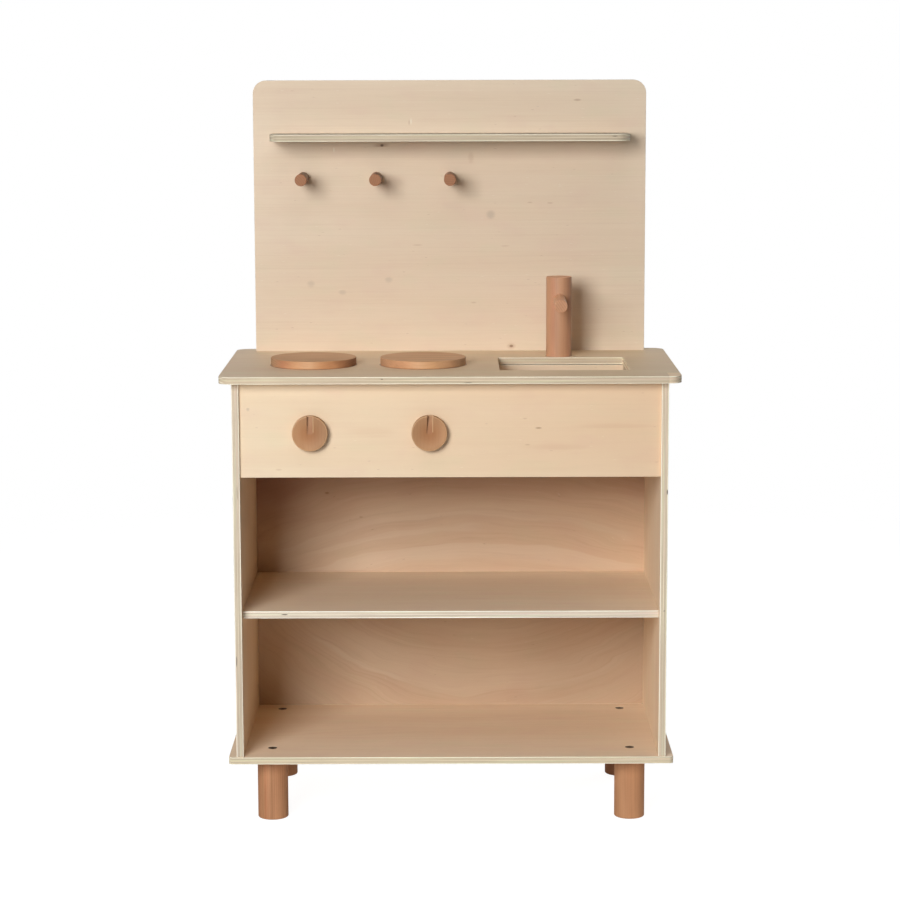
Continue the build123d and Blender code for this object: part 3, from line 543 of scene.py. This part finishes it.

# painted light: sides makes the base plate a little darker at the right end
wear("base_plate", plywood("base_plywood", "base_plate", "z", "x", 1, tint=(1.12, 1.12, 1.14), sides=((1.0, 1.0, 1.0), (0.94, 0.95, 0.96)),
                           edge_tint=(1.33, 1.42, 1.38)))
wear("side_panel_left", plywood("side_left_plywood", "side_panel_left", "x", "z", 2, edge_tint=(1.22, 1.29, 1.35), voids=[
    (-296.0, -151, 235.0, 9.5, 0.8, 0.8), (-291.6, -151, 472.0, 13.0, 0.35, 0.75)]))
wear("side_panel_right", plywood("side_right_plywood", "side_panel_right", "x", "z", 3, tint=(1.11, 1.13, 1.14), edge_tint=(1.36, 1.44, 1.48), voids=[
    (296.8, -151, 471.0, 4.6, 0.9, 1.0), (294.0, -151, 305.0, 1.2, 0.8, 1.0)]))
wear("middle_shelf", plywood("shelf_plywood", "middle_shelf", "z", "x", 4, tint=(1.07, 1.09, 1.11), edge_tint=(1.42, 1.55, 1.70), voids=[
    (-230.0, -133.6, 297.4, 5.6, 1.0, 0.85)]))
wear("fascia_panel", plywood("fascia_plywood", "fascia_panel", "y", "x", 5, tint=(1.05, 1.047, 1.02), fine=0.42,
                               # painted light: sides makes the fascia darker and warmer at the right end
                               sides=((1.03, 1.055, 1.06), (1.01, 0.945, 0.90)), marks=[
    (120.5, -146, 559.4, 6.0, 1.7, 0.75, SHADE), (105.5, -146, 536.4, 5.0, 1.5, 0.45, FAINT),
    (102.0, -146, 572.6, 4.0, 1.5, 0.35, FAINT), (226.2, -146, 561.9, 70.0, 5.0, 0.20, ROSE),
    (-106.7, -146, 554.5, 44.0, 9.0, 0.16, ROSE), (143.0, -146, 533.1, 64.0, 5.5, 0.18, ROSE),
    (-275.8, -146, 585.7, 3.2, 3.2, 0.40, GREY), (-234.8, -146, 502.7, 6.0, 2.0, 0.30, FAINT)]))
wear("back_board", plywood("back_plywood", "back_board", "y", "x", 6, tint=(0.995, 1.025, 1.07), broad=0.34, fine=0.8,
                            # painted shade and light: the zones darken and redden the back board inside both
                            # compartments, darken it further at the upper left, near the top of the upper compartment
                            # and at the right of the lower one, and lighten a patch at the lower left of the upper
                            # compartment
                            zones=[(-400, 400, 297, 628, (0.865, 0.755, 0.68), 4), (-400, 400, 0, 297, (0.80, 0.72, 0.66), 4),
                                   (60, 500, 0, 293, (0.90, 0.88, 0.87), 120), (-400, -190, 350, 636, (0.74, 0.64, 0.63), 70),
                                   (-500, 500, 400, 636, (0.86, 0.79, 0.77), 36), (-400, -80, 335, 636, (0.92, 0.87, 0.85), 95),
                                   (-400, -225, 290, 390, (1.14, 1.20, 1.32), 50)],
                            bends=[(39.6, 297, 625, 808.0), (52.0, 90, 297, -387.0)], arcs=ARCS, knots=[
    (90.0, 141.5, 639.7, 5.0)], marks=[
    (-99.2, 141.5, 933.8, 15.0, 3.6, 0.45, SHADE), (-98.2, 141.5, 933.4, 3.6, 2.2, 0.85, KNOT),
    (-168.1, 141.5, 927.0, 1.6, 5.0, 0.60, PALE),
    (-55.8, 141.5, 967.5, 1.8, 6.0, 0.55, PALE), (-58.6, 141.5, 966.0, 1.6, 5.0, 0.30, SHADE), (185.5, 141.5, 998.2, 7.0, 2.4, 0.45, SHADE),
    (31.1, 141.5, 915.4, 6.0, 9.0, 0.26, FAINT), (117.0, 141.5, 849.9, 5.5, 1.6, 0.38, FAINT),
    (146.2, 141.5, 849.1, 6.0, 1.7, 0.42, FAINT), (59.7, 141.5, 832.6, 9.0, 8.0, 0.36, GREY),
    (80.6, 141.5, 786.6, 9.0, 1.5, 0.30, FAINT), (-47.2, 141.5, 788.4, 10.0, 1.5, 0.32, FAINT),
    (34.8, 141.5, 704.0, 5.5, 1.8, 0.36, FAINT), (-203.5, 141.5, 732.2, 8.0, 6.5, 0.26, GREY),
    (-89.6, 141.5, 737.3, 8.0, 6.5, 0.26, GREY), (-157.4, 141.5, 719.2, 8.0, 4.6, 0.26, GREY),
    (-183.1, 141.5, 421.2, 5.0, 2.0, 0.55, SHADE), (-133.0, 141.5, 385.0, 4.0, 1.6, 0.40, FAINT)]))
# painted light: sides makes the worktop lighter at the left end and darker at the right
wear("worktop", plywood("worktop_plywood", "worktop", "z", "x", 7, sides=((1.14, 1.14, 1.12), (0.95, 0.94, 0.87)),
                        # painted shade and light: dims darken a strip at the right end of the sink opening and lighten
                        # the front right corner, which lies in shade
                        edge_tint=(1.19, 1.23, 1.21), dims=[(243.2, 248.5, -97, 45.8, 0.80), (296, 320, -175, -130, 1.22)],
                        # painted shade: rings are fine dark lines round the foot of each hotplate and of the tap column
                        rings=[(-191.7, -28, 60, 1.8, 0.5), (-38, -28, 60, 1.8, 0.5), (156.8, 73.6, 18.2, 1.6, 0.5)], voids=[
    (-92.2, -171, 630.0, 1.8, 0.7, 0.9), (24.5, -171, 625.0, 7.5, 0.6, 0.75)]))
wear("sink_wall_front", plywood("sink_front_plywood", "sink_wall_front", "y", "x", 8))
wear("sink_wall_rear", plywood("sink_rear_plywood", "sink_wall_rear", "y", "x", 9))
wear("sink_wall_left", plywood("sink_left_plywood", "sink_wall_left", "x", "y", 10))
wear("sink_wall_right", plywood("sink_right_plywood", "sink_wall_right", "x", "y", 11, tint=(0.72, 0.72, 0.70)))
wear("sink_floor", plywood("sink_floor_plywood", "sink_floor", "z", "x", 12))
wear("upper_shelf", plywood("upper_shelf_plywood", "upper_shelf", "z", "x", 13, tint=(0.68, 0.74, 0.79), voids=[
    (235.8, 71.5, 947.9, 5.2, 0.6, 0.85)]))

LEG, PLATE, KNOB = (1.185, 1.24, 1.147), (1.33, 1.54, 1.46), (0.79, 0.79, 0.66)
TAP, PEG = (1.15, 1.27, 1.35), (0.80, 0.73, 0.64)
wear("leg_front_left", beech("leg_fl_beech", "leg_front_left", "z", 1, turn=25, gloss=0.6, calm=1.3, tint=(1.06, 1.08, 1.00), bands=[
    (0.5, 6.0, 0.36, lin(134, 86, 58)), (-8.4, 6.0, 0.30, lin(190, 116, 84)), (-13.0, 5.0, 0.15, lin(176, 138, 100)),
    (4.5, 4.0, 0.18, lin(140, 92, 64))]))
# painted light: lean makes the right side of this leg lighter
wear("leg_front_right", beech("leg_fr_beech", "leg_front_right", "z", 2, turn=-40, gloss=0.6, tint=LEG, calm=0.6, lean=((1.2, 0, 0), 0.15)))
wear("leg_rear_left", beech("leg_rl_beech", "leg_rear_left", "z", 3, turn=70, gloss=0.6, tint=(0.84, 0.82, 0.74)))
wear("leg_rear_right", beech("leg_rr_beech", "leg_rear_right", "z", 4, turn=10, gloss=0.6, tint=(0.68, 0.63, 0.56)))
# painted shade and light, partly end grain: rim darkens the ends of each hotplate's rim, the shaded right end of the
# left one most, and lightens the lit front
wear("hotplate_left", beech("plate_left_beech", "hotplate_left", "x", 5, turn=75, pith=0.06, tint=PLATE, calm=0.5, rim=[
    (-60, (0.85, 0.90, 0.95)), (-41, (0.75, 0.63, 0.66)), (-20, (0.95, 0.95, 0.95)), (0, (1.04, 1.13, 1.20)),
    (15, (0.95, 0.90, 0.86)), (30, (0.82, 0.73, 0.68)), (56, (0.54, 0.44, 0.42))]))
wear("hotplate_right", beech("plate_right_beech", "hotplate_right", "x", 6, turn=100, pith=0.05, tint=PLATE, calm=0.5, rim=[
    (-60, (0.85, 0.81, 0.85)), (-35, (0.85, 0.82, 0.86)), (-20, (1.0, 0.98, 1.0)), (-5, (1.08, 1.18, 1.24)),
    (15, (1.0, 1.06, 1.08)), (32, (0.85, 0.86, 0.89)), (56, (0.80, 0.84, 0.88))]))
wear("knob_left", beech("knob_left_beech", "knob_left", "z", 7, turn=60, pith=0.05, tint=KNOB, calm=0.6, ringed=True, lean=((-0.8, 0, -0.6), 0.11)))
wear("knob_right", beech("knob_right_beech", "knob_right", "z", 8, turn=120, pith=0.05, tint=KNOB, calm=0.6, ringed=True, lean=((0.8, 0, -0.6), 0.11)))
# painted light: lean makes the right side of the tap column slightly lighter
wear("tap_column", beech("tap_column_beech", "tap_column", "z", 9, turn=-20, gloss=0.36, tint=TAP, calm=0.6, ends=1.25, lean=((1.0, 0, 0), 0.05), bands=[
    # bands: two reddish stripes of the wood's tone either side of a pale stripe down the middle, which is a painted
    # highlight
    (-10.0, 9.0, 0.30, lin(200, 132, 106)), (0.5, 9.0, 0.22, lin(216, 168, 130)), (12.5, 6.0, 0.30, lin(196, 128, 102))]))
wear("tap_spout", beech("tap_spout_beech", "tap_spout", "y", 10, turn=35, gloss=0.36, tint=(1.42, 1.50, 1.52), calm=0.8, ends=0.76))
# painted shade: far darkens the upper right side of each peg's barrel
wear("peg_left", beech("peg_left_beech", "peg_left", "y", 11, turn=40, pith=0.03, tint=PEG, far=((0.9, 0, 0.45), 0.45)))
wear("peg_middle", beech("peg_middle_beech", "peg_middle", "y", 12, turn=-15, pith=0.03, tint=PEG, far=((0.9, 0, 0.45), 0.45)))
wear("peg_right", beech("peg_right_beech", "peg_right", "y", 13, turn=85, pith=0.03, tint=PEG, far=((0.9, 0, 0.45), 0.45)))
for i, name in enumerate(("back_board_dowels", "fascia_dowels", "shelf_dowels", "worktop_dowels", "sink_dowels")):
    wear(name, beech(name + "_beech", name, "z" if name in ("worktop_dowels", "sink_dowels") else "x", 20 + i, gloss=0.6))

steel_bright, steel_dark, gold, wool = zinc("zinc_plate"), zinc("zinc_bolt", 0.62), brass("turned_brass"), felt("wool_felt")
for name in nodes:
    if name == "leg_bolts":
        wear(name, steel_dark)
    elif name in ("leg_inserts", "tap_insert"):
        wear(name, gold)
    elif name.startswith("knob_felt"):
        wear(name, wool)
    elif "screw" in name or "stud" in name or "washer" in name or "nut" in name or name == "tap_bolt":
        wear(name, steel_bright)

# -------------------------------------------------------------------- stage
FLOOR_R = 5.0
me = bpy.data.meshes.new("floor")
ring = [(math.cos(i * math.tau / 96), math.sin(i * math.tau / 96)) for i in range(96)]
verts, faces = [(0.0, 0.0, 0.0)], []
radii = (0.5, 1.0, 1.6, 2.4, 3.4, FLOOR_R)
for r in radii:
    verts += [(x * r, y * r, 0.0) for x, y in ring]
for i in range(96):
    j = (i + 1) % 96
    faces.append((0, 1 + i, 1 + j))
    for k in range(len(radii) - 1):
        a = 1 + k * 96
        faces.append((a + i, a + 96 + i, a + 96 + j, a + j))
me.from_pydata(verts, [], faces)
me.validate()
floor = bpy.data.objects.new("floor", me)
scene.collection.objects.link(floor)
floor.location.z = -0.0004
t = Tree("floor_paint")
tc = t.new("ShaderNodeTexCoord")
x, y, z = t.split(tc.outputs["Object"])
r = t.m("SQRT", t.add(t.mul(x, x), t.mul(y, y)))
path = t.new("ShaderNodeLightPath")
grit = t.noise(t.vec(t.mul(x, 90.0), t.mul(y, 90.0), 0.0), 4.0, 0.6)
base = t.new("ShaderNodeBsdfDiffuse")
seen = path.outputs["Is Camera Ray"]
paper = t.mixf(seen, 0.80, t.mixf(grit, 0.24, 0.26))
t.put(base.inputs["Color"], t.vec(paper, paper, paper))
glow = t.new("ShaderNodeEmission")
glow.inputs["Color"].default_value = (1.0, 1.0, 1.0, 1)
FLOOR_GLOW = 0.93
t.put(glow.inputs["Strength"], t.mixf(seen, 0.03, FLOOR_GLOW))
both = t.new("ShaderNodeAddShader")
t.put(both.inputs[0], base.outputs[0])
t.put(both.inputs[1], glow.outputs[0])
clear = t.new("ShaderNodeBsdfTransparent")
fade = t.new("ShaderNodeMixShader")
t.put(fade.inputs[0], t.map(r, 0.9, 2.6))
t.put(fade.inputs[1], both.outputs[0])
t.put(fade.inputs[2], clear.outputs[0])
out = t.new("ShaderNodeOutputMaterial")
t.put(out.inputs[0], fade.outputs[0])
floor.data.materials.append(t.mat)

# ------------------------------------------------------------------- lights
AIM = Vector((0.0, 0.0, 0.55))


def softbox(name, azimuth, elevation, distance, width, height, power, colour=(1.0, 1.0, 1.0)):
    """A soft rectangular light. azimuth is from the front (-Y), to the left; elevation is above the horizon."""
    a, e = math.radians(azimuth), math.radians(elevation)
    away = Vector((-math.sin(a) * math.cos(e), -math.cos(a) * math.cos(e), math.sin(e)))
    data = bpy.data.lights.new(name, "AREA")
    data.shape = "RECTANGLE"
    data.size, data.size_y = width, height
    data.energy = power
    data.color = colour
    o = bpy.data.objects.new(name, data)
    scene.collection.objects.link(o)
    o.location = AIM + away * distance
    o.rotation_mode = "QUATERNION"
    o.rotation_quaternion = away.to_track_quat("Z", "Y")
    o.visible_camera = False
    return o


softbox("key", 21.4, 17.0, 3.4, 1.31, 1.44, 85.0)
softbox("rear_right", -130.0, 20.0, 2.6, 1.6, 1.6, 22.0)
softbox("rear_left", 130.0, 20.0, 2.6, 1.6, 1.6, 4.5)
softbox("rear", 180.0, 20.0, 2.6, 1.6, 1.6, 7.7)
softbox("front_left", 10.0, 70.0, 2.4, 1.4, 1.4, 1.7)
softbox("top_front", 0.0, 60.0, 2.4, 1.6, 1.6, 7.0)

WORLD_FILL = 0.01
world = bpy.data.worlds.new("studio")
scene.world = world
w = Tree("studio", world)
path = w.new("ShaderNodeLightPath")
back = w.new("ShaderNodeBackground")
back.inputs["Color"].default_value = (1.0, 1.0, 1.0, 1)
w.put(back.inputs["Strength"], w.mixf(path.outputs["Is Camera Ray"], WORLD_FILL, 1.0))
out = w.new("ShaderNodeOutputWorld")
w.put(out.inputs[0], back.outputs[0])
